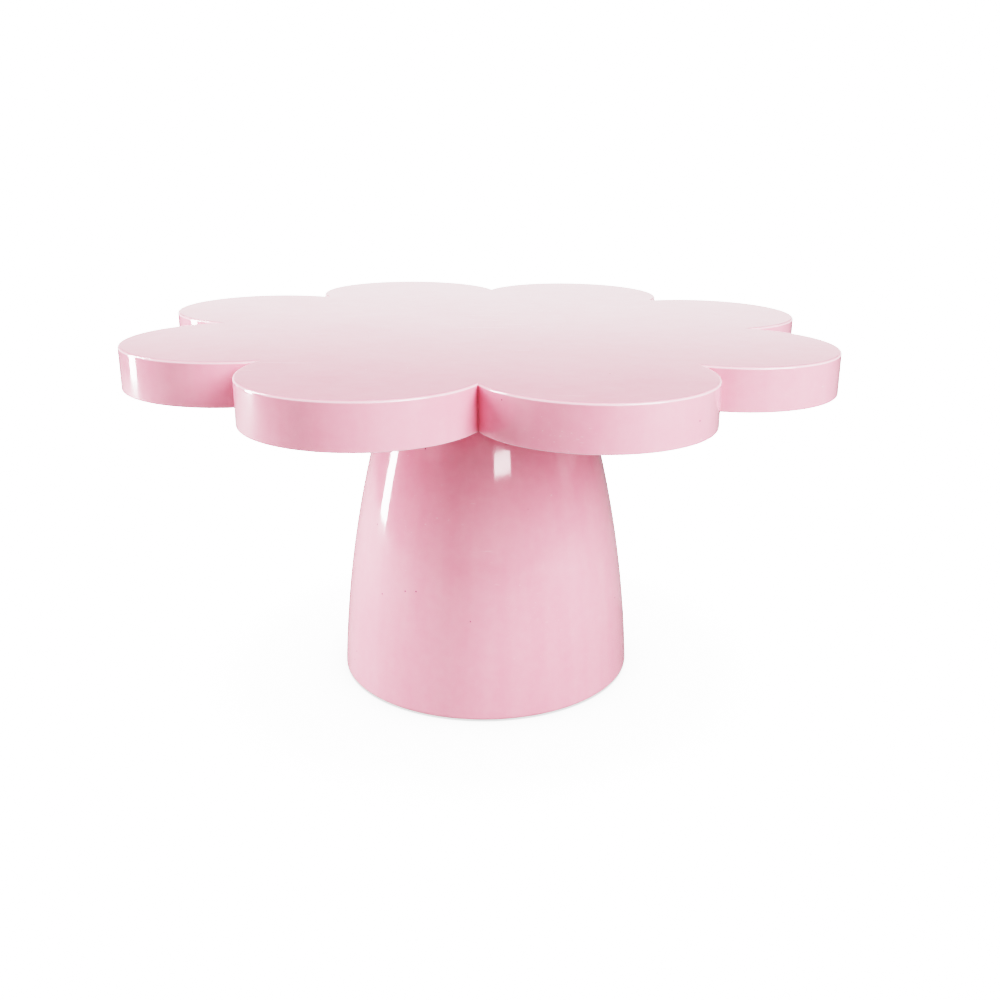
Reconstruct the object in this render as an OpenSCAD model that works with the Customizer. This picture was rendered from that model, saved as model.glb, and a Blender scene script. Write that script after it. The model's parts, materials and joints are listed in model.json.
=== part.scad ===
// Petal cake turntable: a flower-shaped plate that turns by hand on a flared pedestal.
// Millimetres. +Z is up along the spin axis, and the origin is the middle of the
// plane on which the foot pads stand. At rest one notch of the plate faces -Y.

/* [Plate] */
// Distance from the spin axis to the tip of a petal
plate_tip_r = 150; // [140:1:165]
// Number of petals
petal_count = 8; // [7:1:9]
// Petal radius, as a multiple of half the distance between neighbouring petal centres
petal_overlap = 1.078; // [1.06:0.002:1.12]
// Thickness of the plate
plate_t = 17; // [16:0.5:20]
// Wall of the hollow plate
plate_wall = 3; // [2.5:0.1:3.5]
// Rounding of the plate's top edge
top_edge_r = 0.9; // [0.6:0.1:1.6]
// Rounding of the plate's bottom edge
bottom_edge_r = 0.5; // [0.3:0.1:1]
// Thickness of the panel that closes the plate from below
cover_t = 2.5; // [2:0.1:3]

/* [Pedestal] */
// Height of the plate's top above the table
total_h = 156; // [150:1:170]
// Pedestal radius at the table
base_r = 65.6; // [64:0.1:72]
// Pedestal radius half way up to the plate
middle_r = 57.8; // [56.5:0.1:60]
// Pedestal radius that the flare would reach at the plate's underside
neck_r = 40; // [39.5:0.1:44]
// Wall of the pedestal
pedestal_wall = 3; // [2.5:0.1:3.2]
// Gap between the pedestal's rim and the plate that turns above it
plate_gap = 2.5; // [2:0.1:3]

/* [Base] */
// How far the foot pads stand out below the base cover
foot_h = 0.7; // [0.5:0.1:1.5]
// Radius of a foot pad
foot_r = 7; // [5:0.5:7]
// Thickness of the base cover
base_cover_t = 3.5; // [3:0.1:4]
// Radius of the steel weight
ballast_r = 45; // [40:0.5:46]
// Thickness of the steel weight
ballast_t = 7; // [6:0.5:10]

/* [Bearings] */
// Distance between the two ball bearings
bearing_span = 20; // [16:1:24]
// Balls in one bearing
ball_count = 8; // [7:1:8]

/* [Hidden] */
// Facets on ordinary round parts, and on the large arc of the flare
$fn = 96;
arc_fn = 1440;

// Petal outline: circles on a ring, which meet in sharp notches
half_step = 180 / petal_count;
petal_spread = petal_overlap * sin(half_step);
petal_ring_r = plate_tip_r / (1 + petal_spread);
petal_r = plate_tip_r - petal_ring_r;
notch_r = petal_ring_r * cos(half_step) + sqrt(petal_r ^ 2 - (petal_ring_r * sin(half_step)) ^ 2);
core_r = 0.9 * notch_r;
edge_steps = 4;

// Heights of the plate and its middle
plate_z = total_h - plate_t;
cover_fit = 0.25;
plate_boss_r = 36;
plate_rib_t = 2.2;
plate_rib_ring_r = 70;
cover_boss_r = 4.5;

// Hub, bolted under the plate
hub_r = 34;
hub_t = 5;
hub_neck_h = 5;
hub_screw_ring_r = 26;
hub_screw_count = 4;

// Ball bearing of a standard size, 12 x 28 x 8 mm, with 3/16 inch balls
bearing_bore_d = 12;
bearing_od = 28;
bearing_w = 8;
ball_d = 4.762;

// Bearing stack, from the hub's neck down
spindle_r = bearing_bore_d / 2;
hub_z = plate_z - hub_t;
upper_bearing_z = hub_z - hub_neck_h - bearing_w;
lower_bearing_z = upper_bearing_z - bearing_span - bearing_w;
pitch_r = (bearing_bore_d + bearing_od) / 4;
ball_r = ball_d / 2;
ball_play = 0.08;
race_shoulder = 1.2;
inner_land_r = pitch_r - race_shoulder;
outer_land_r = pitch_r + race_shoulder;
shield_t = 0.5;
shield_lip = 0.6;
shield_sunk = 0.3;
shield_clearance = 0.3;
cage_t = 1.1;
cage_h = 5.8;
washer_t = 1.5;
nut_t = 6;
nut_r = 11;
spindle_tail = 3;

// Bearing housing
housing_top_z = upper_bearing_z + bearing_w + 1;
housing_bottom_z = lower_bearing_z - 2;
housing_r = 18.5;
housing_flange_r = 33;
housing_flange_t = 4;
housing_screw_ring_r = 27;
housing_shoulder_r = 12;
housing_screw_count = 4;

// Pedestal
pedestal_top_z = plate_z - plate_gap;
recess_r = neck_r - 2.6;
deck_top_z = housing_top_z - housing_flange_t;
deck_t = 4;
deck_z = deck_top_z - deck_t;
deck_hole_clearance = 0.3;
deck_boss_r = 4.5;
deck_boss_h = 10;
deck_rib_t = 2.4;
rim_edge = 0.8;

// Base cover, ballast and feet
base_cover_r = base_r - pedestal_wall - 0.5;
base_top_z = foot_h + base_cover_t;
base_boss_ring_r = base_r - 12.5;
base_boss_r = 4.5;
base_boss_h = 26;
base_rib_t = 2.5;
base_screw_count = 4;
ballast_screw_count = 4;
ballast_post_ring_r = 30;
ballast_post_r = 4;
ballast_hole_r = 10;
foot_count = 4;
foot_ring_r = 46;
foot_sunk = 1.6;
foot_edge = 0.3;

// Screws: [shank radius, head radius, head height], their lengths and the play round them
small_screw = [1.4, 3, 2];
large_screw = [2, 3.6, 2.2];
base_screw_l = 16;
housing_screw_l = 14;
hub_screw_l = 14;
cover_screw_l = 10;
ballast_screw_l = 7;
ballast_screw_head_r = 5.4;
screw_play = 0.12;

// Centre and radius of the circle through three points of the pedestal's outline
function circle_centre(a, b, c) =
    let (
        d = 2 * (a.x * (b.y - c.y) + b.x * (c.y - a.y) + c.x * (a.y - b.y)),
        aa = a * a,
        bb = b * b,
        cc = c * c
    )
    [
        (aa * (b.y - c.y) + bb * (c.y - a.y) + cc * (a.y - b.y)) / d,
        (aa * (c.x - b.x) + bb * (a.x - c.x) + cc * (b.x - a.x)) / d
    ];

flare_centre = circle_centre([base_r, 0], [middle_r, plate_z / 2], [neck_r, plate_z]);
flare_r = norm([base_r, 0] - flare_centre);

// ---- helpers ----

// Places its children count times around the spin axis, the first at the angle start
module ring_of(count, radius, start = 0) {
    for (i = [0 : count - 1])
        rotate([0, 0, start + i * 360 / count])
            translate([radius, 0, 0])
                children();
}

// Tube that stands on z = 0
module tube(outer_r, inner_r, height) {
    difference() {
        cylinder(r = outer_r, h = height);
        translate([0, 0, -1])
            cylinder(r = inner_r, h = height + 2);
    }
}

// Cross recess that opens upwards at z = 0
module cross_recess(head_r) {
    for (turn = [0, 90])
        rotate([0, 0, turn])
            cube([head_r * 1.1, head_r * 0.24, head_r * 0.7], center = true);
}

// Pan-head screw: the head rests on z = 0 and the shank goes down
module pan_screw(size, length) {
    difference() {
        union() {
            translate([0, 0, -length])
                cylinder(r = size[0], h = length);
            cylinder(r1 = size[1], r2 = size[1] * 0.8, h = size[2]);
        }
        translate([0, 0, size[2]])
            cross_recess(size[1]);
    }
}

// Countersunk screw: the flat head is flush with z = 0 and the shank goes down
module flush_screw(size, length) {
    difference() {
        union() {
            translate([0, 0, -length])
                cylinder(r = size[0], h = length);
            translate([0, 0, size[0] - size[1]])
                cylinder(r1 = size[0], r2 = size[1], h = size[1] - size[0]);
        }
        cross_recess(size[1]);
    }
}

// Space that a countersunk screw needs, with its play
module flush_screw_hole(size, length) {
    translate([0, 0, -length])
        cylinder(r = size[0] + screw_play, h = length + 1);
    translate([0, 0, size[0] - size[1]])
        cylinder(r1 = size[0] + screw_play, r2 = size[1] + screw_play, h = size[1] - size[0]);
    cylinder(r = size[1] + screw_play, h = 1);
}

// Blind or through pilot hole that goes down from z = 0
module pilot_hole(size, length) {
    translate([0, 0, -length])
        cylinder(r = size[0] + screw_play, h = length + 1);
}

// ---- pedestal ----

// Half section of the flare between two heights, thinner by the inset
module flare_section(inset, low_z, high_z) {
    intersection() {
        translate(flare_centre)
            circle(r = flare_r - inset, $fn = arc_fn);
        translate([0, low_z])
            square([2 * base_r, high_z - low_z]);
    }
}

// Radius of the pedestal's outside at a height
function flare_x(z) = flare_centre.x + sqrt(flare_r ^ 2 - (z - flare_centre.y) ^ 2);

module pedestal_profile() {
    top_r = flare_x(pedestal_top_z);
    bottom_r = flare_x(foot_h);
    difference() {
        flare_section(0, foot_h, pedestal_top_z);
        flare_section(pedestal_wall, foot_h - 1, deck_z);
        translate([-1, deck_top_z])
            square([recess_r + 1, plate_z]);
        translate([-1, 0])
            square([housing_r + deck_hole_clearance + 1, plate_z]);
        polygon([
            [top_r - rim_edge, pedestal_top_z],
            [top_r + 1, pedestal_top_z + 1],
            [top_r + 1, pedestal_top_z - rim_edge]
        ]);
        polygon([
            [bottom_r - rim_edge, foot_h],
            [bottom_r + 1, foot_h - 1],
            [bottom_r + 1, foot_h + rim_edge]
        ]);
    }
}

module pedestal_shell() {
    color("#f0c0cc")
    difference() {
        union() {
            rotate_extrude()
                pedestal_profile();
            ring_of(base_screw_count, base_boss_ring_r, 45)
                base_boss();
            ring_of(housing_screw_count, housing_screw_ring_r, 45)
                translate([0, 0, deck_z - deck_boss_h])
                    cylinder(r = deck_boss_r, h = deck_boss_h + 1);
            // Ribs that stiffen the deck
            intersection() {
                ring_of(2 * housing_screw_count, housing_r + 2)
                    translate([0, -deck_rib_t / 2, deck_z - deck_boss_h])
                        cube([neck_r, deck_rib_t, deck_boss_h + 1]);
                rotate_extrude()
                    flare_section(pedestal_wall / 2, deck_z - deck_boss_h - 1, deck_z + 2);
            }
        }
        ring_of(base_screw_count, base_boss_ring_r, 45)
            translate([0, 0, base_top_z])
                rotate([180, 0, 0])
                    pilot_hole(large_screw, base_screw_l + 2);
        ring_of(housing_screw_count, housing_screw_ring_r, 45)
            translate([0, 0, deck_top_z])
                pilot_hole(large_screw, housing_screw_l - housing_flange_t + 2);
    }
}

// Screw boss on the pedestal's inner wall, tied to the wall by a rib
module base_boss() {
    intersection() {
        union() {
            translate([0, 0, base_top_z])
                cylinder(r = base_boss_r, h = base_boss_h);
            translate([0, -base_rib_t / 2, base_top_z])
                cube([base_r - base_boss_ring_r, base_rib_t, base_boss_h]);
        }
        translate([-base_boss_ring_r, 0, 0])
            rotate_extrude()
                flare_section(pedestal_wall / 2, 0, plate_z);
    }
}

module base_cover() {
    color("#e9b6c3")
    difference() {
        union() {
            translate([0, 0, foot_h])
                cylinder(r = base_cover_r, h = base_cover_t);
            ring_of(ballast_screw_count, ballast_post_ring_r)
                translate([0, 0, base_top_z - 1])
                    cylinder(r = ballast_post_r, h = ballast_t + 0.7);
        }
        ring_of(ballast_screw_count, ballast_post_ring_r)
            translate([0, 0, base_top_z + ballast_t + 1])
                pilot_hole(small_screw, ballast_t + 2);
        ring_of(base_screw_count, base_boss_ring_r, 45)
            translate([0, 0, foot_h])
                rotate([180, 0, 0])
                    flush_screw_hole(large_screw, base_cover_t + 1);
        ring_of(foot_count, foot_ring_r)
            translate([0, 0, foot_h - 1])
                cylinder(r = foot_r + 0.1, h = foot_sunk + 1);
    }
}

module base_screws() {
    color("silver")
    ring_of(base_screw_count, base_boss_ring_r, 45)
        translate([0, 0, foot_h])
            rotate([180, 0, 0])
                flush_screw(large_screw, base_screw_l);
}

module foot_pads() {
    color("#d8d8d8")
    ring_of(foot_count, foot_ring_r)
        union() {
            cylinder(r1 = foot_r - foot_edge, r2 = foot_r, h = foot_edge);
            translate([0, 0, foot_edge])
                cylinder(r = foot_r, h = foot_h + foot_sunk - foot_edge);
        }
}

module ballast_disc() {
    color("#8a8d90")
    translate([0, 0, base_top_z])
        difference() {
            tube(ballast_r, ballast_hole_r, ballast_t);
            ring_of(ballast_screw_count, ballast_post_ring_r)
                translate([0, 0, -1])
                    cylinder(r = ballast_post_r + 0.2, h = ballast_t + 2);
        }
}

module ballast_screws() {
    color("silver")
    ring_of(ballast_screw_count, ballast_post_ring_r)
        translate([0, 0, base_top_z + ballast_t])
            pan_screw([small_screw[0], ballast_screw_head_r, small_screw[2]], ballast_screw_l);
}

// ---- bearing housing ----

module bearing_housing() {
    color("#c9ccd0")
    difference() {
        union() {
            translate([0, 0, housing_bottom_z])
                cylinder(r = housing_r, h = housing_top_z - housing_bottom_z);
            translate([0, 0, deck_top_z])
                cylinder(r = housing_flange_r, h = housing_flange_t);
        }
        translate([0, 0, housing_bottom_z - 1])
            cylinder(r = housing_shoulder_r, h = housing_top_z - housing_bottom_z + 2);
        translate([0, 0, upper_bearing_z])
            cylinder(r = bearing_od / 2, h = bearing_w + 5);
        translate([0, 0, housing_bottom_z - 1])
            cylinder(r = bearing_od / 2, h = lower_bearing_z + bearing_w - housing_bottom_z + 1);
        ring_of(housing_screw_count, housing_screw_ring_r, 45)
            translate([0, 0, housing_top_z])
                pilot_hole(large_screw, housing_flange_t + 1);
    }
}

module housing_screws() {
    color("silver")
    ring_of(housing_screw_count, housing_screw_ring_r, 45)
        translate([0, 0, housing_top_z])
            pan_screw(large_screw, housing_screw_l);
}

// ---- ball bearings, each standing on z = 0 ----

// Circle of the ball track in a half section
module track_section(play) {
    translate([pitch_r, bearing_w / 2])
        circle(r = ball_r + play, $fn = 180);
}

module outer_race() {
    color("#b9bcc0")
    rotate_extrude()
        difference() {
            translate([outer_land_r, 0])
                square([bearing_od / 2 - outer_land_r, bearing_w]);
            track_section(ball_play);
            // Steps that hold the two shields
            for (low = [-1, bearing_w - shield_t - shield_sunk])
                translate([outer_land_r - 1, low])
                    square([1 + shield_lip, 1 + shield_sunk + shield_t]);
        }
}

module inner_race() {
    color("#b9bcc0")
    rotate_extrude()
        difference() {
            translate([spindle_r, 0])
                square([inner_land_r - spindle_r, bearing_w]);
            track_section(ball_play);
        }
}

module shields() {
    color("#d5d7da")
    for (low = [shield_sunk, bearing_w - shield_t - shield_sunk])
        translate([0, 0, low])
            tube(outer_land_r + shield_lip - 0.05, inner_land_r + shield_clearance, shield_t);
}

module balls() {
    color("#e3e5e8")
    ring_of(ball_count, pitch_r)
        translate([0, 0, bearing_w / 2])
            sphere(r = ball_r);
}

module cage() {
    color("#c8a24a")
    difference() {
        translate([0, 0, (bearing_w - cage_h) / 2])
            tube(pitch_r + cage_t / 2, pitch_r - cage_t / 2, cage_h);
        ring_of(ball_count, pitch_r - cage_t)
            translate([0, 0, bearing_w / 2])
                rotate([0, 90, 0])
                    cylinder(r = ball_r + ball_play, h = 2 * cage_t);
    }
}

module upper_outer_race() { translate([0, 0, upper_bearing_z]) outer_race(); }
module upper_inner_race() { translate([0, 0, upper_bearing_z]) inner_race(); }
module upper_shields() { translate([0, 0, upper_bearing_z]) shields(); }
module upper_balls() { translate([0, 0, upper_bearing_z]) balls(); }
module upper_cage() { translate([0, 0, upper_bearing_z]) cage(); }
module lower_outer_race() { translate([0, 0, lower_bearing_z]) outer_race(); }
module lower_inner_race() { translate([0, 0, lower_bearing_z]) inner_race(); }
module lower_shields() { translate([0, 0, lower_bearing_z]) shields(); }
module lower_balls() { translate([0, 0, lower_bearing_z]) balls(); }
module lower_cage() { translate([0, 0, lower_bearing_z]) cage(); }

module bearing_spacer() {
    color("#a9adb2")
    translate([0, 0, lower_bearing_z + bearing_w])
        tube(inner_land_r, spindle_r + 0.1, bearing_span);
}

// ---- spindle and hub ----

module spindle() {
    length = plate_z - lower_bearing_z + washer_t + nut_t + spindle_tail;
    color("#aeb2b6")
    translate([0, 0, plate_z - length])
        union() {
            cylinder(r1 = spindle_r - 1, r2 = spindle_r, h = 1);
            translate([0, 0, 1])
                cylinder(r = spindle_r, h = length - 1);
        }
}

module spindle_washer() {
    color("#c4c7ca")
    translate([0, 0, lower_bearing_z - washer_t])
        tube(inner_land_r, spindle_r + 0.1, washer_t);
}

module spindle_nut() {
    color("#b4b7bb")
    translate([0, 0, lower_bearing_z - washer_t - nut_t])
        difference() {
            cylinder(r = nut_r, h = nut_t, $fn = 6);
            translate([0, 0, -1])
                cylinder(r = spindle_r + 0.05, h = nut_t + 2);
        }
}

module plate_hub() {
    color("#c9ccd0")
    difference() {
        union() {
            translate([0, 0, hub_z])
                cylinder(r = hub_r, h = hub_t);
            translate([0, 0, hub_z - hub_neck_h])
                cylinder(r = inner_land_r, h = hub_neck_h + 1);
        }
        translate([0, 0, hub_z - hub_neck_h - 1])
            cylinder(r = spindle_r, h = hub_t + hub_neck_h + 2);
        ring_of(hub_screw_count, hub_screw_ring_r)
            translate([0, 0, hub_z])
                rotate([180, 0, 0])
                    flush_screw_hole(large_screw, hub_t + 1);
    }
}

module hub_screws() {
    color("silver")
    ring_of(hub_screw_count, hub_screw_ring_r)
        translate([0, 0, hub_z])
            rotate([180, 0, 0])
                flush_screw(large_screw, hub_screw_l);
}

// ---- plate ----

// Round puck with a rounded top and bottom edge, standing on z = 0
module petal_puck() {
    rotate_extrude()
        polygon(concat(
            [[0, 0]],
            quarter_round([petal_r - bottom_edge_r, bottom_edge_r], bottom_edge_r, -90),
            quarter_round([petal_r - top_edge_r, plate_t - top_edge_r], top_edge_r, 0),
            [[0, plate_t]]
        ));
}

// Points of a quarter circle, from the angle start
function quarter_round(centre, r, start) = [
    for (i = [0 : edge_steps])
        let (a = start + i * 90 / edge_steps)
        centre + r * [cos(a), sin(a)]
];

// Flower outline as a straight-sided solid, smaller than the plate by the inset
module petal_slab(inset, height) {
    linear_extrude(height)
        union() {
            circle(r = notch_r - inset);
            ring_of(petal_count, petal_ring_r, half_step)
                circle(r = petal_r - inset);
        }
}

module top_plate() {
    color("#f2c4d0")
    difference() {
        translate([0, 0, plate_z])
            union() {
                cylinder(r = core_r, h = plate_t);
                ring_of(petal_count, petal_ring_r, half_step)
                    petal_puck();
            }
        plate_cavity();
        ring_of(petal_count, petal_ring_r, half_step)
            translate([0, 0, plate_z])
                rotate([180, 0, 0])
                    pilot_hole(small_screw, cover_screw_l + 1);
        ring_of(hub_screw_count, hub_screw_ring_r)
            translate([0, 0, plate_z])
                rotate([180, 0, 0])
                    pilot_hole(large_screw, hub_screw_l - hub_t + 2);
    }
}

// Hollow of the plate, which leaves its ribs, its screw bosses and the middle boss standing
module plate_cavity() {
    rib_z = plate_z + cover_t;
    difference() {
        translate([0, 0, plate_z - 1])
            petal_slab(plate_wall, plate_t - plate_wall + 1);
        // One spoke to every petal, and a ring
        ring_of(petal_count, plate_boss_r - 1, half_step)
            translate([0, -plate_rib_t / 2, rib_z])
                cube([plate_tip_r - plate_boss_r, plate_rib_t, plate_t]);
        translate([0, 0, rib_z])
            tube(plate_rib_ring_r + plate_rib_t / 2, plate_rib_ring_r - plate_rib_t / 2, plate_t);
        // Middle boss that the hub is bolted to
        translate([0, 0, plate_z - 2])
            cylinder(r = plate_boss_r, h = 2 * plate_t);
        // Bosses for the underside cover's screws
        ring_of(petal_count, petal_ring_r, half_step)
            translate([0, 0, rib_z])
                cylinder(r = cover_boss_r, h = plate_t);
    }
}

module underside_cover() {
    color("#e9b6c3")
    difference() {
        translate([0, 0, plate_z])
            petal_slab(plate_wall + cover_fit, cover_t);
        translate([0, 0, plate_z - 1])
            cylinder(r = plate_boss_r + cover_fit, h = cover_t + 2);
        ring_of(petal_count, petal_ring_r, half_step)
            translate([0, 0, plate_z])
                rotate([180, 0, 0])
                    flush_screw_hole(small_screw, cover_t + 1);
    }
}

module cover_screws() {
    color("silver")
    ring_of(petal_count, petal_ring_r, half_step)
        translate([0, 0, plate_z])
            rotate([180, 0, 0])
                flush_screw(small_screw, cover_screw_l);
}

pedestal_shell();
base_cover();
base_screws();
foot_pads();
ballast_disc();
ballast_screws();
bearing_housing();
housing_screws();
upper_outer_race();
upper_shields();
upper_cage();
upper_balls();
upper_inner_race();
bearing_spacer();
lower_outer_race();
lower_shields();
lower_cage();
lower_balls();
lower_inner_race();
spindle();
spindle_washer();
spindle_nut();
plate_hub();
hub_screws();
top_plate();
underside_cover();
cover_screws();
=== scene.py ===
"""Petal cake turntable: looks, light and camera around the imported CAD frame.

Everything is in metres, in the frame of the CAD model: +Z is up along the spin axis, the stand's
feet rest on z = 0, and a notch of the plate faces -Y. The plate, the pedestal and the feet are
remade here as fine meshes. Every other piece keeps its CAD mesh and gets a material.
"""

import json
import math

import bmesh
import bpy
from mathutils import Matrix, Vector


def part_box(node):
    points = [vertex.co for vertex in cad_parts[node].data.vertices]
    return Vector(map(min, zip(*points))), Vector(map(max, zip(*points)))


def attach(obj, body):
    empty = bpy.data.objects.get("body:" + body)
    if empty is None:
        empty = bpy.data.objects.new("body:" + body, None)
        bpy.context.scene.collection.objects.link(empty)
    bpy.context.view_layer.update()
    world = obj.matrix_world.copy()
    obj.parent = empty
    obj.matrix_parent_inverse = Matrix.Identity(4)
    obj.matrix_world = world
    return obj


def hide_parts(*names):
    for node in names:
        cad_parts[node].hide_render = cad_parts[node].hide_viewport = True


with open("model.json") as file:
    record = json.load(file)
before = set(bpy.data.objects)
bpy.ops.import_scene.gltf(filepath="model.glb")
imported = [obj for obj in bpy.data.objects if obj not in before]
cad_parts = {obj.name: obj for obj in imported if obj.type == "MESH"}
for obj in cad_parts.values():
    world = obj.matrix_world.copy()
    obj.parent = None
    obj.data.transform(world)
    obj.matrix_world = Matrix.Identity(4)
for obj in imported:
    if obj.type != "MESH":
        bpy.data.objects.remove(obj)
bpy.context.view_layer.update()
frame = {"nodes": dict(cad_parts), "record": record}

MM = 0.001
WHITE = 6.0  # strength of the plain background as the camera sees it

# ---- sizes, from the frame and from the design's own few driving values ----

PETALS = 8
HALF_STEP = math.pi / PETALS
PETAL_OVERLAP = 1.078  # petal radius over half the distance between neighbouring petal centres
PLATE_LOW, PLATE_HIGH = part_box("top_plate")
UNDER_Z, TOP_Z = PLATE_LOW[2], PLATE_HIGH[2]
PETAL_RING_R = PLATE_HIGH[0] / (math.cos(HALF_STEP) + PETAL_OVERLAP * math.sin(HALF_STEP))
PETAL_R = PETAL_OVERLAP * PETAL_RING_R * math.sin(HALF_STEP)
TIP_R = PETAL_RING_R + PETAL_R
HALF_SPACING = PETAL_RING_R * math.sin(HALF_STEP)  # half the distance between neighbouring petal centres


def notch_at(petal_r):
    """Distance from the spin axis to the notch between two petals of a radius."""
    return PETAL_RING_R * math.cos(HALF_STEP) + math.sqrt(petal_r ** 2 - HALF_SPACING ** 2)


NOTCH_R = notch_at(PETAL_R)
TOP_EDGE = 0.9 * MM
BOTTOM_EDGE = 0.5 * MM
SKIRT_T = 3 * MM
COVER_T = 2.5 * MM
COVER_GAP = 0.2 * MM  # between the cover and the plate's roof
PLATE_BOSS_R = 36 * MM

SHELL_LOW, SHELL_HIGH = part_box("pedestal_shell")
FOOT_Z, RIM_Z = SHELL_LOW[2], SHELL_HIGH[2]
BASE_R, MIDDLE_R, NECK_R = 65.6 * MM, 57.8 * MM, 40 * MM
SHELL_T = 3 * MM
RECESS_R = NECK_R - 2.6 * MM
HOUSING_FLANGE_T = 4 * MM
DECK_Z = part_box("bearing_housing")[1][2] - HOUSING_FLANGE_T
DECK_T = 4 * MM
DECK_HOLE_R = 18.8 * MM

FOOT_LOW, FOOT_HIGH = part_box("foot_pads")
FOOT_COUNT = 4
FOOT_R = 7 * MM
FOOT_RING_R = FOOT_HIGH[0] - FOOT_R


# ---- small mesh helpers ----

def link(obj):
    bpy.context.scene.collection.objects.link(obj)
    return obj


SHARP_ANGLE = math.radians(32)


def mesh_object(name, bm):
    """Makes an object of a bmesh, smooth except across its sharp edges."""
    bmesh.ops.recalc_face_normals(bm, faces=bm.faces)
    for face in bm.faces:
        face.smooth = True
    for edge in bm.edges:
        edge.smooth = len(edge.link_faces) == 2 and edge.calc_face_angle() < SHARP_ANGLE
    mesh = bpy.data.meshes.new(name)
    bm.to_mesh(mesh)
    bm.free()
    return link(bpy.data.objects.new(name, mesh))


def span(start, end, steps):
    """Evenly spaced values from start to end."""
    return [start + (end - start) * i / steps for i in range(steps + 1)]


def quarter_turn(steps):
    """Evenly spaced angles from nil to a right angle."""
    return [math.pi / 2 * i / steps for i in range(steps + 1)]


def circle(bm, r, z, segments, centre=(0, 0)):
    """A level ring of vertices."""
    angles = [2 * math.pi * i / segments for i in range(segments)]
    return [bm.verts.new((centre[0] + r * math.cos(a), centre[1] + r * math.sin(a), z)) for a in angles]


def loft(bm, rings, closed=False):
    """Joins rings of equally many vertices with quads."""
    after = rings[1:] + rings[:1] if closed else rings[1:]
    for low, high in zip(rings, after):
        count = len(low)
        for i in range(count):
            j = (i + 1) % count
            bm.faces.new((low[i], low[j], high[j], high[i]))


def cap(bm, ring, z):
    """Closes a ring with a fan round the spin axis."""
    middle = bm.verts.new((0, 0, z))
    for i, vert in enumerate(ring):
        bm.faces.new((vert, ring[(i + 1) % len(ring)], middle))


def lathe(bm, profile, segments, centre=(0, 0)):
    """Turns a closed half section round an upright axis."""
    loft(bm, [circle(bm, r, z, segments, centre) for r, z in profile], closed=True)


# ---- plate ----

ARC_STEPS = 44  # mesh steps along the outline of one petal
EDGE_HOLD = 0.35 * MM  # width of the narrow strips that keep the flat faces beside a rounded edge flat
TOP_RINGS = (0.2, 0.4, 0.6, 0.8, 0.93)  # how far each ring of the flat top has come towards round


def petal_outline(inset):
    """Points of the flower outline, moved inwards by the inset, anticlockwise from a notch."""
    r = PETAL_R - inset
    notch = notch_at(r)
    # The arc's end, seen from the petal's centre
    end = math.atan2(notch * math.sin(HALF_STEP), notch * math.cos(HALF_STEP) - PETAL_RING_R)
    points = []
    for petal in range(PETALS):
        along = (2 * petal + 1) * HALF_STEP
        for i in range(ARC_STEPS):
            a = end * (2 * i / ARC_STEPS - 1)
            out = Vector((PETAL_RING_R + r * math.cos(a), r * math.sin(a)))
            points.append(Matrix.Rotation(along, 2) @ out)
    return points


def plate_ring(bm, points, z):
    """A level ring of vertices on an outline."""
    return [bm.verts.new((p.x, p.y, z)) for p in points]


def plate_piece():
    """The flower-shaped plate, with a recess below for its cover and a boss in the middle."""
    bm = bmesh.new()
    edge = petal_outline(0)
    directions = [p.normalized() for p in edge]
    boss = [d * PLATE_BOSS_R for d in directions]
    # Inside the skirt the notches are blunt, on one circle, as the cover is
    skirt = [p.normalized() * max(p.length, NOTCH_R - SKIRT_T) for p in petal_outline(SKIRT_T)]
    roof_z = UNDER_Z + COVER_T + COVER_GAP
    rings = [
        plate_ring(bm, boss, UNDER_Z),
        plate_ring(bm, boss, roof_z),
        plate_ring(bm, skirt, roof_z),
        plate_ring(bm, skirt, UNDER_Z),
    ]
    rings.append(plate_ring(bm, petal_outline(BOTTOM_EDGE + EDGE_HOLD), UNDER_Z))
    for a in quarter_turn(6):
        inset, up = BOTTOM_EDGE * (1 - math.sin(a)), BOTTOM_EDGE * (1 - math.cos(a))
        rings.append(plate_ring(bm, petal_outline(inset), UNDER_Z + up))
    rings.append(plate_ring(bm, edge, UNDER_Z + BOTTOM_EDGE + EDGE_HOLD))
    rings.append(plate_ring(bm, edge, TOP_Z - TOP_EDGE - EDGE_HOLD))
    for a in quarter_turn(9):
        inset, down = TOP_EDGE * (1 - math.cos(a)), TOP_EDGE * (1 - math.sin(a))
        rings.append(plate_ring(bm, petal_outline(inset), TOP_Z - down))
    inner = petal_outline(TOP_EDGE + EDGE_HOLD)
    rings.append(plate_ring(bm, inner, TOP_Z))
    for share in TOP_RINGS:
        shrink = 1 - 0.8 * share
        ring = [p.lerp(d * PETAL_RING_R * 0.5, share) * shrink for p, d in zip(inner, directions)]
        rings.append(plate_ring(bm, ring, TOP_Z))
    loft(bm, rings)
    cap(bm, rings[0], UNDER_Z)
    cap(bm, rings[-1], TOP_Z)
    return mesh_object("petal_plate", bm)


# ---- pedestal ----

def circle_through(a, b, c):
    """Centre and radius of the circle through three points of a half section."""
    d = 2 * (a[0] * (b[1] - c[1]) + b[0] * (c[1] - a[1]) + c[0] * (a[1] - b[1]))
    aa, bb, cc = (p[0] ** 2 + p[1] ** 2 for p in (a, b, c))
    x = (aa * (b[1] - c[1]) + bb * (c[1] - a[1]) + cc * (a[1] - b[1])) / d
    z = (aa * (c[0] - b[0]) + bb * (a[0] - c[0]) + cc * (b[0] - a[0])) / d
    return (x, z), math.hypot(a[0] - x, a[1] - z)


RIM_OUTER_EDGE = 1.1 * MM
RIM_INNER_EDGE = 0.9 * MM
SOLE_OUTER_EDGE = 0.9 * MM
SOLE_INNER_EDGE = 0.5 * MM
DECK_FILLET = 1 * MM
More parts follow.
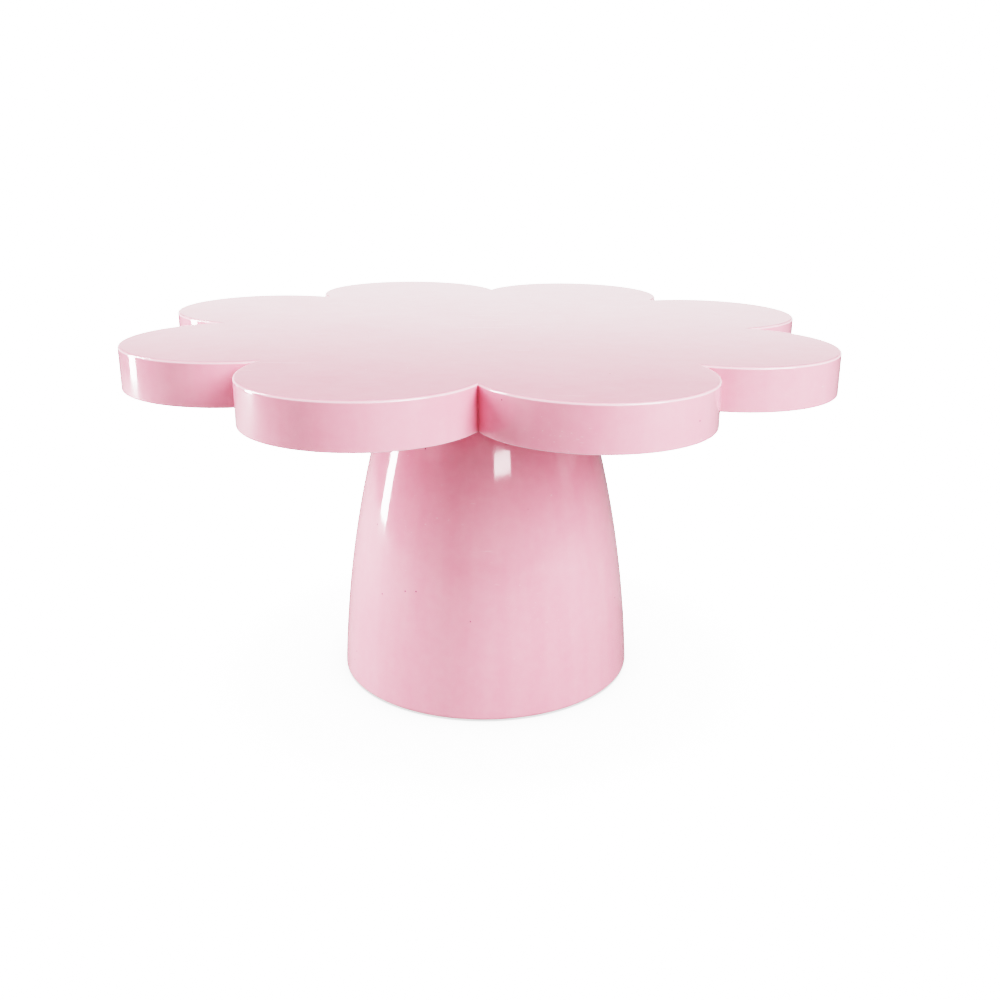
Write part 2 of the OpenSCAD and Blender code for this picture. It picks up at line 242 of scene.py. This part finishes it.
# How far the flare's own points keep from its rims, to leave room for the rounded corners
RIM_CLEAR = 2.4 * MM
SOLE_CLEAR = 2.2 * MM
SOLE_CLEAR_INSIDE = 1.5 * MM
FLARE_CENTRE, FLARE_R = circle_through((BASE_R, 0), (MIDDLE_R, UNDER_Z / 2), (NECK_R, UNDER_Z))


def flare_x(z, inset=0):
    """Radius of the pedestal at a height, inside its outer face by the inset."""
    return FLARE_CENTRE[0] + math.sqrt((FLARE_R - inset) ** 2 - (z - FLARE_CENTRE[1]) ** 2)


def rounded_corner(before, corner, after, radius, steps):
    """A corner of a half section, rounded to a radius, as points in order."""
    corner = Vector(corner)
    a = (Vector(before) - corner).normalized()
    b = (Vector(after) - corner).normalized()
    half = a.angle(b) / 2
    centre = corner + (a + b).normalized() * radius / math.sin(half)
    start = corner + a * radius / math.tan(half) - centre
    end = corner + b * radius / math.tan(half) - centre
    total = start.angle(end)
    points = []
    for i in range(steps + 1):
        t = i / steps
        p = (start * math.sin((1 - t) * total) + end * math.sin(t * total)) / math.sin(total)
        points.append(tuple(centre + p))
    return points


def pedestal_piece():
    """The flared pedestal with its deck, its recess round the hub and its rounded rims."""
    outer = [(flare_x(z), z) for z in span(FOOT_Z + SOLE_CLEAR, RIM_Z - RIM_CLEAR, 72)]
    inner_heights = span(DECK_Z - DECK_T, FOOT_Z + SOLE_CLEAR_INSIDE, 48)
    inner = [(flare_x(z, SHELL_T), z) for z in inner_heights]
    low_out, low_in = (flare_x(FOOT_Z), FOOT_Z), (flare_x(FOOT_Z, SHELL_T), FOOT_Z)
    top_out, top_in = (flare_x(RIM_Z), RIM_Z), (RECESS_R, RIM_Z)
    deck_out, deck_in = (RECESS_R, DECK_Z), (DECK_HOLE_R, DECK_Z)
    profile = rounded_corner(low_in, low_out, outer[0], SOLE_OUTER_EDGE, 6)
    profile += outer
    profile += rounded_corner(outer[-1], top_out, top_in, RIM_OUTER_EDGE, 7)
    profile += rounded_corner(top_out, top_in, deck_out, RIM_INNER_EDGE, 6)
    profile += rounded_corner(top_in, deck_out, deck_in, DECK_FILLET, 4)
    profile += [deck_in, (DECK_HOLE_R, DECK_Z - DECK_T)]
    profile += inner
    profile += rounded_corner(inner[-1], low_in, low_out, SOLE_INNER_EDGE, 3)
    bm = bmesh.new()
    lathe(bm, profile, 288)
    return mesh_object("flared_pedestal", bm)


# ---- feet ----

FOOT_HOLE_R = 0.8 * MM
FOOT_EDGE = 0.45 * MM
GROOVE_R = FOOT_R * 0.62
GROOVE_DEPTH = 0.25 * MM
GROOVE_HALF_WIDTH = 0.5 * MM


def feet_piece():
    """Rubber pads with rounded edges, a ring groove in each sole and a small hole through the middle."""
    top_edge, bottom_edge = (FOOT_R, FOOT_HIGH[2]), (FOOT_R, FOOT_LOW[2])
    profile = [(FOOT_HOLE_R, FOOT_HIGH[2]), top_edge]
    profile += rounded_corner(top_edge, bottom_edge, (0, FOOT_LOW[2]), FOOT_EDGE, 5)
    profile += [(GROOVE_R + GROOVE_HALF_WIDTH, FOOT_LOW[2]), (GROOVE_R, FOOT_LOW[2] + GROOVE_DEPTH)]
    profile += [(GROOVE_R - GROOVE_HALF_WIDTH, FOOT_LOW[2]), (FOOT_HOLE_R, FOOT_LOW[2])]
    bm = bmesh.new()
    for i in range(FOOT_COUNT):
        a = 2 * math.pi * i / FOOT_COUNT
        lathe(bm, profile, 64, (FOOT_RING_R * math.cos(a), FOOT_RING_R * math.sin(a)))
    return mesh_object("rubber_feet", bm)


# ---- materials ----

class Nodes:
    """A material under construction, with short ways to add its nodes."""

    def __init__(self, name):
        self.material = bpy.data.materials.new(name)
        self.material.use_nodes = True
        self.tree = self.material.node_tree
        self.shader = self.tree.nodes["Principled BSDF"]
        self.place = self.add("ShaderNodeTexCoord").outputs["Object"]

    def add(self, kind, **values):
        node = self.tree.nodes.new(kind)
        for key, value in values.items():
            setattr(node, key, value)
        return node

    def join(self, source, target):
        self.tree.links.new(source, target)

    def stretch(self, scale, turn=(0, 0, 0)):
        """The object's own coordinates, turned and scaled."""
        node = self.add("ShaderNodeMapping")
        node.inputs["Scale"].default_value = scale
        node.inputs["Rotation"].default_value = turn
        self.join(self.place, node.inputs["Vector"])
        return node.outputs["Vector"]

    def noise(self, scale, detail=2, rough=0.5, vector=None):
        node = self.add("ShaderNodeTexNoise")
        node.inputs["Scale"].default_value = scale
        node.inputs["Detail"].default_value = detail
        node.inputs["Roughness"].default_value = rough
        self.join(vector or self.place, node.inputs["Vector"])
        return node.outputs["Fac"]

    def remap(self, value, low, high, to_low, to_high):
        node = self.add("ShaderNodeMapRange")
        ends = {"From Min": low, "From Max": high, "To Min": to_low, "To Max": to_high}
        for key, number in ends.items():
            node.inputs[key].default_value = number
        self.join(value, node.inputs["Value"])
        return node.outputs["Result"]

    def maths(self, kind, a, b):
        node = self.add("ShaderNodeMath", operation=kind)
        for socket, value in zip(node.inputs, (a, b)):
            if isinstance(value, (int, float)):
                socket.default_value = value
            else:
                self.join(value, socket)
        return node.outputs["Value"]

    def blend(self, factor, first, second):
        """Mixes two colours, each a tuple or a node's output."""
        node = self.add("ShaderNodeMix", data_type="RGBA")
        self.join(factor, node.inputs["Factor"])
        sockets = [s for s in node.inputs if s.type == "RGBA"]
        for socket, value in zip(sockets, (first, second)):
            if isinstance(value, tuple):
                socket.default_value = (*value, 1)
            else:
                self.join(value, socket)
        return [s for s in node.outputs if s.type == "RGBA"][0]

    def bump(self, height, distance, strength=1.0, under=None):
        node = self.add("ShaderNodeBump")
        node.inputs["Distance"].default_value = distance
        node.inputs["Strength"].default_value = strength
        self.join(height, node.inputs["Height"])
        if under is not None:
            self.join(under, node.inputs["Normal"])
        return node.outputs["Normal"]

    def feed(self, **inputs):
        """Feeds the shader: numbers are set on its sockets and outputs are joined to them."""
        for name, value in inputs.items():
            socket = self.shader.inputs[name.replace("_", " ")]
            if isinstance(value, (int, float)):
                socket.default_value = value
            elif isinstance(value, tuple):
                socket.default_value = (*value, 1)
            else:
                self.join(value, socket)
        return self.material


def scratch_mask(m, turn, keep):
    """Fine straight scratches along one direction, kept only in some patches."""
    lines = m.noise(1, 1, 0.4, m.stretch((18, 2600, 2600), turn))
    patches = m.noise(22, 1, 0.5)
    fine = m.remap(lines, 0.74, 0.78, 0, 1)
    return m.maths("MULTIPLY", fine, m.remap(patches, keep, keep + 0.08, 0, 1))


def highlight_edge_mask(m):
    """One on a rounded edge, where the surface leans between level and upright, and nil elsewhere; it
    places the painted highlight along the edges.
    """
    apart = m.add("ShaderNodeSeparateXYZ")
    m.join(m.add("ShaderNodeNewGeometry").outputs["Normal"], apart.inputs["Vector"])
    lean = m.maths("ABSOLUTE", apart.outputs["Z"], 0)
    return m.remap(m.maths("MULTIPLY", lean, m.maths("SUBTRACT", 1, lean)), 0.08, 0.24, 0, 1)


def speck_mask(m, scale, radius, share):
    """Round specks of a radius in metres, in a share of the cells of a loose grid."""
    cells = m.add("ShaderNodeTexVoronoi", feature="F1")
    cells.inputs["Scale"].default_value = scale
    m.join(m.place, cells.inputs["Vector"])
    apart = m.add("ShaderNodeSeparateColor")
    m.join(cells.outputs["Color"], apart.inputs["Color"])
    chosen = m.remap(apart.outputs["Red"], 1 - share, 1 - share + 0.01, 0, 1)
    reach = radius * scale
    return m.maths("MULTIPLY", m.remap(cells.outputs["Distance"], reach, reach * 0.6, 0, 1), chosen)


# Paler pink painted on the rounded edges as a highlight, in place of the light's thin reflection along
# them
PAINTED_EDGE_HIGHLIGHT = (0.96, 0.76, 0.81)
DIRT = (0.42, 0.12, 0.17)
DUST = (0.95, 0.80, 0.83)
SCRATCH = (0.95, 0.70, 0.75)


def glossy_pink(name, base, deep, painted_highlight_share=0):
    """Polished moulded plastic with colour flow, faint upright streaks, waviness, scratches and specks,
    and where asked a painted highlight: a paler colour on the rounded edges.
    """
    m = Nodes(name)
    flow = m.remap(m.noise(11, 4, 0.6), 0.35, 0.65, 0, 1)
    streaks = m.remap(m.noise(1, 2, 0.6, m.stretch((95, 95, 5))), 0.35, 0.65, 0, 1)
    mottle = m.remap(m.noise(230, 3, 0.7), 0.3, 0.7, 0, 1)
    mixed = m.maths("ADD", m.maths("MULTIPLY", flow, 0.45), m.maths("MULTIPLY", streaks, 0.3))
    colour = m.blend(m.maths("ADD", mixed, m.maths("MULTIPLY", mottle, 0.25)), base, deep)
    # Painted highlight: the rounded edges get a paler colour where the light's reflection would run
    if painted_highlight_share:
        colour = m.blend(m.maths("MULTIPLY", highlight_edge_mask(m), painted_highlight_share), colour, PAINTED_EDGE_HIGHLIGHT)
    dirt = speck_mask(m, scale=75, radius=0.42 * MM, share=0.8)
    dust = speck_mask(m, scale=130, radius=0.3 * MM, share=0.5)
    one_way = scratch_mask(m, (0.3, 0.2, 0.5), 0.56)
    another_way = scratch_mask(m, (0.1, 0.4, 2.2), 0.6)
    scratches = m.maths("ADD", one_way, another_way)
    colour = m.blend(m.maths("MULTIPLY", dirt, 0.75), colour, DIRT)
    colour = m.blend(m.maths("MULTIPLY", dust, 0.6), colour, DUST)
    colour = m.blend(m.maths("MULTIPLY", scratches, 0.3), colour, SCRATCH)
    smudge = m.remap(m.noise(26, 4, 0.6), 0.35, 0.75, 0.05, 0.12)
    rough = m.maths("ADD", smudge, m.maths("MULTIPLY", streaks, 0.025))
    rough = m.maths("ADD", rough, m.maths("MULTIPLY", scratches, 0.25))
    waves = m.bump(m.noise(14, 1), 0.00035, 0.3)
    grain = m.bump(m.noise(900, 2), 0.00001, 0.35, waves)
    lines = m.bump(scratches, -0.00001, 0.5, grain)
    lines = m.bump(m.maths("ADD", dirt, dust), 0.00004, 0.6, lines)
    m.feed(Base_Color=colour, Roughness=rough, Normal=lines, IOR=1.5)
    return m.feed(Coat_Weight=0.35, Coat_Roughness=0.03)


def satin_pink():
    """Spark-eroded moulded plastic of the hidden covers."""
    m = Nodes("satin_pink")
    flow = m.remap(m.noise(12, 3), 0.3, 0.7, 0, 1)
    colour = m.blend(flow, (0.86, 0.36, 0.44), (0.83, 0.34, 0.42))
    rough = m.remap(m.noise(240, 3, 0.7), 0.3, 0.7, 0.42, 0.58)
    grain = m.bump(m.noise(1600, 3, 0.7), 0.00003, 0.6)
    return m.feed(Base_Color=colour, Roughness=rough, Normal=grain, IOR=1.5)


def turned_metal(name, light, dark, rough_low, rough_high, pitch=2400):
    """Metal with fine turning rings round the spin axis."""
    m = Nodes(name)
    apart = m.add("ShaderNodeSeparateXYZ")
    m.join(m.place, apart.inputs["Vector"])
    flat = m.add("ShaderNodeCombineXYZ")
    m.join(apart.outputs["X"], flat.inputs["X"])
    m.join(apart.outputs["Y"], flat.inputs["Y"])
    radius = m.add("ShaderNodeVectorMath", operation="LENGTH")
    m.join(flat.outputs["Vector"], radius.inputs[0])
    along = m.maths("ADD", radius.outputs["Value"], apart.outputs["Z"])
    rings_at = m.add("ShaderNodeCombineXYZ")
    m.join(m.maths("MULTIPLY", along, pitch), rings_at.inputs["X"])
    rings = m.noise(1, 2, 0.6, rings_at.outputs["Vector"])
    cloud = m.noise(70, 3)
    colour = m.blend(m.remap(m.maths("ADD", rings, cloud), 0.7, 1.3, 0, 1), light, dark)
    rough = m.remap(rings, 0.3, 0.7, rough_low, rough_high)
    return m.feed(Base_Color=colour, Roughness=rough, Metallic=1.0, Normal=m.bump(rings, 0.00001, 0.4))


def plated_metal(name, light, dark, rough_low, rough_high):
    """Plated or polished metal with faint clouds and tiny pits."""
    m = Nodes(name)
    cloud = m.noise(180, 4, 0.6)
    colour = m.blend(m.remap(cloud, 0.35, 0.65, 0, 1), light, dark)
    rough = m.remap(m.noise(420, 3), 0.3, 0.7, rough_low, rough_high)
    return m.feed(Base_Color=colour, Roughness=rough, Metallic=1.0, Normal=m.bump(cloud, 0.000004, 0.4))


def foot_rubber():
    """Soft grey rubber with a matt, dusty sole."""
    m = Nodes("foot_rubber")
    dust = m.noise(150, 4, 0.65)
    colour = m.blend(m.remap(dust, 0.4, 0.7, 0, 1), (0.42, 0.42, 0.41), (0.55, 0.54, 0.52))
    rough = m.remap(dust, 0.3, 0.7, 0.6, 0.85)
    return m.feed(Base_Color=colour, Roughness=rough, Normal=m.bump(m.noise(1300, 2), 0.00003, 0.5))


def studio_floor():
    """Pale paper that glows plain white for the camera alone, with a painted shadow near the stand, darker
    where ambient occlusion finds the stand close.
    """
    m = Nodes("studio_floor")
    m.feed(Base_Color=(0.35, 0.35, 0.35), Roughness=0.9, Specular_IOR_Level=0.1)
    painted_shadow_ao = m.add("ShaderNodeAmbientOcclusion", samples=16)
    painted_shadow_ao.inputs["Distance"].default_value = 0.07
    paper = m.add("ShaderNodeEmission")
    # Painted shadow: the glow the camera sees dims by ambient occlusion near the stand
    m.join(m.remap(painted_shadow_ao.outputs["AO"], 0.4, 0.98, 0.8, WHITE), paper.inputs["Strength"])
    path = m.add("ShaderNodeLightPath")
    seen = m.add("ShaderNodeMixShader")
    m.join(path.outputs["Is Camera Ray"], seen.inputs["Fac"])
    m.join(m.shader.outputs["BSDF"], seen.inputs[1])
    m.join(paper.outputs["Emission"], seen.inputs[2])
    m.join(seen.outputs["Shader"], m.tree.nodes["Material Output"].inputs["Surface"])
    return m.material


def dress(obj, material):
    """Gives every slot of an object one material."""
    mesh = obj.data
    if not mesh.materials:
        mesh.materials.append(material)
    for slot in obj.material_slots:
        slot.material = material


LIGHT_PINK = (0.925, 0.435, 0.51)
DEEP_PINK = (0.90, 0.36, 0.438)

plate = plate_piece()
# The plate gets the painted highlight along its rounded edges
dress(plate, glossy_pink("glossy_pink_plate", LIGHT_PINK, DEEP_PINK, painted_highlight_share=0.55))
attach(plate, "turntable")
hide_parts("top_plate")

pedestal = pedestal_piece()
dress(pedestal, glossy_pink("glossy_pink_pedestal", LIGHT_PINK, DEEP_PINK))
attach(pedestal, "pedestal")
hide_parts("pedestal_shell")

feet = feet_piece()
dress(feet, foot_rubber())
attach(feet, "pedestal")
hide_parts("foot_pads")

MATERIALS = {
    "cover": satin_pink(),
    "housing": turned_metal("turned_aluminium", (0.80, 0.81, 0.82), (0.68, 0.69, 0.71), 0.22, 0.36),
    "race": turned_metal("ground_bearing_steel", (0.72, 0.72, 0.73), (0.60, 0.60, 0.62), 0.08, 0.18,
                         pitch=5200),
    "ball": plated_metal("polished_ball_steel", (0.80, 0.80, 0.81), (0.74, 0.74, 0.76), 0.03, 0.07),
    "cage": turned_metal("cage_brass", (0.75, 0.56, 0.25), (0.62, 0.45, 0.19), 0.22, 0.38, pitch=3000),
    "steel": turned_metal("turned_steel", (0.62, 0.62, 0.63), (0.50, 0.50, 0.52), 0.20, 0.35),
    "zinc": plated_metal("zinc_plate", (0.76, 0.77, 0.79), (0.62, 0.63, 0.66), 0.22, 0.4),
    "weight": turned_metal("plain_steel", (0.30, 0.30, 0.31), (0.20, 0.20, 0.21), 0.4, 0.6, pitch=1200),
}
REMADE = {"top_plate", "pedestal_shell", "foot_pads"}
for part in frame["record"]["subparts"]:
    if part["node"] not in REMADE:
        dress(frame["nodes"][part["node"]], MATERIALS[part["material_slot"]])


# ---- studio ----

FLOOR_RADII = (0.1, 0.2, 0.4, 0.8, 1.6, 3.2)
MIDDLE = (0, 0, 0.09)  # where most of the lights aim


def floor_piece():
    """A wide disc of pale paper."""
    bm = bmesh.new()
    rings = [circle(bm, r, 0, 96) for r in FLOOR_RADII]
    loft(bm, rings)
    cap(bm, rings[0], 0)
    return mesh_object("studio_floor", bm)


floor = floor_piece()
dress(floor, studio_floor())


def soft_box(name, place, aim, width, height, watts):
    """A rectangular soft light that faces a point."""
    light = bpy.data.lights.new(name, "AREA")
    light.shape = "RECTANGLE"
    light.size = width
    light.size_y = height
    light.energy = watts
    obj = link(bpy.data.objects.new(name, light))
    obj.location = place
    obj.rotation_euler = (Vector(aim) - Vector(place)).to_track_quat("-Z", "Y").to_euler()


soft_box("key_right", (0.75, -0.75, 0.75), MIDDLE, width=0.7, height=0.7, watts=15)
soft_box("side_right", (0.9, 0, 0.5), MIDDLE, width=0.6, height=0.8, watts=0.95)
soft_box("fill_left", (-0.9, -0.5, 0.6), MIDDLE, width=0.7, height=0.7, watts=0.8)
soft_box("over", (0, 0.1, 1.2), MIDDLE, width=1, height=1, watts=2.4)
# A low slit in front makes the small highlight at the top of the pedestal
soft_box("front_low", (0.44, -1.45, 0.44), MIDDLE, width=0.43, height=0.1, watts=1.5)
# An upright strip makes the tall highlight on the pedestal's left
soft_box("strip_left", (-0.8, 0.13, 0.4), (0, 0, 0.4), width=0.13, height=0.8, watts=12)


class World:
    """The world's shader under construction."""

    def __init__(self, name):
        self.world = bpy.data.worlds.new(name)
        self.world.use_nodes = True
        self.tree = self.world.node_tree
        self.toward = self.tree.nodes.new("ShaderNodeTexCoord").outputs["Generated"]

    def maths(self, operation, a, b):
        node = self.tree.nodes.new("ShaderNodeMath")
        node.operation = operation
        for socket, value in zip(node.inputs, (a, b)):
            if isinstance(value, (int, float)):
                socket.default_value = value
            else:
                self.tree.links.new(value, socket)
        return node.outputs["Value"]

    def lobe(self, direction, power, strength):
        """A broad glow round one direction."""
        node = self.tree.nodes.new("ShaderNodeVectorMath")
        node.operation = "DOT_PRODUCT"
        node.inputs[1].default_value = Vector(direction).normalized()
        self.tree.links.new(self.toward, node.inputs[0])
        glow = self.maths("POWER", self.maths("MAXIMUM", node.outputs["Value"], 0), power)
        return self.maths("MULTIPLY", glow, strength)

    def below(self, glow, full, none):
        """Keeps a glow below one elevation and fades it out up to another, in degrees."""
        apart = self.tree.nodes.new("ShaderNodeSeparateXYZ")
        self.tree.links.new(self.toward, apart.inputs[0])
        fade = self.tree.nodes.new("ShaderNodeMapRange")
        fade.interpolation_type = "SMOOTHSTEP"
        fade.inputs["From Min"].default_value = math.sin(math.radians(full))
        fade.inputs["From Max"].default_value = math.sin(math.radians(none))
        fade.inputs["To Min"].default_value = 1
        fade.inputs["To Max"].default_value = 0
        self.tree.links.new(apart.outputs["Z"], fade.inputs["Value"])
        return self.maths("MULTIPLY", glow, fade.outputs["Result"])


def studio_world():
    """A glow behind the stand, brighter low down, and at the front and right; white for the camera."""
    w = World("studio")
    bpy.context.scene.world = w.world
    back = w.lobe((0, 1, 0.1), power=3, strength=0.52)
    front = w.lobe((0, -1, 0.15), power=3, strength=0.764)
    right = w.lobe((1, 0, 0.15), power=3, strength=0.169)
    low_back = w.below(w.lobe((0, 1, 0), power=2, strength=0.72), full=8, none=13)
    glow = w.maths("ADD", w.maths("ADD", w.maths("ADD", back, front), right), low_back)
    path = w.tree.nodes.new("ShaderNodeLightPath")
    seen = w.tree.nodes.new("ShaderNodeMix")
    w.tree.links.new(path.outputs["Is Camera Ray"], seen.inputs["Factor"])
    w.tree.links.new(glow, seen.inputs["A"])
    seen.inputs["B"].default_value = WHITE
    w.tree.links.new(seen.outputs["Result"], w.tree.nodes["Background"].inputs["Strength"])
    w.tree.nodes["Background"].inputs["Color"].default_value = (1, 1, 1, 1)


studio_world()

# ---- camera: three plate radii away and a little above the plate ----

SENSOR = 36
LENS = 40.18
SHIFT = -0.0435
AZIMUTH = math.radians(1.41)
AWAY = 3.212 * TIP_R
ABOVE_PLATE = 0.5445 * TIP_R
HEADING = AZIMUTH - math.radians(3.085)
PITCH_DOWN = math.radians(18.48)
ROLL = math.radians(0.9)


def studio_camera():
    """A normal lens at the photograph's angle."""
    camera = bpy.data.cameras.new("camera")
    camera.sensor_width = SENSOR
    camera.lens = LENS
    camera.shift_x = SHIFT
    obj = link(bpy.data.objects.new("camera", camera))
    obj.location = (AWAY * math.sin(AZIMUTH), -AWAY * math.cos(AZIMUTH), TOP_Z + ABOVE_PLATE)
    obj.rotation_mode = "XYZ"
    look = Matrix.Rotation(HEADING, 3, "Z") @ Matrix.Rotation(math.pi / 2 - PITCH_DOWN, 3, "X")
    obj.rotation_euler = (look @ Matrix.Rotation(ROLL, 3, "Z")).to_euler()
    bpy.context.scene.camera = obj


studio_camera()

# ---- film ----

MIDDLE_GREY = 0.18
CONTRAST = 1.7  # the film's power law, which leaves middle grey as it is
SHOULDER = 0.19  # level above which the film holds each colour back
FILM_POINTS = 24
DARK_CROWDING = 2.5  # power that sets the curve's points closer together in the dark


def film(value):
    """The film's answer to one colour's light: contrast round middle grey, then a soft shoulder."""
    value = MIDDLE_GREY * (value / MIDDLE_GREY) ** CONTRAST
    room = 1 - SHOULDER
    return value if value < SHOULDER else 1 - room * room / (value + room - SHOULDER)


def film_look():
    """Sets the film on the scene's view. The curve's own range is nil to one, for nil to WHITE."""
    view = bpy.context.scene.view_settings
    view.view_transform = "Standard"
    view.use_curve_mapping = True
    curves = view.curve_mapping
    curves.white_level = (WHITE, WHITE, WHITE)
    every_colour = curves.curves[3]
    for i in range(1, FILM_POINTS):
        x = (i / FILM_POINTS) ** DARK_CROWDING
        every_colour.points.new(x, film(x * WHITE))
    for point in every_colour.points:
        point.handle_type = "AUTO_CLAMPED"
    curves.update()


film_look()
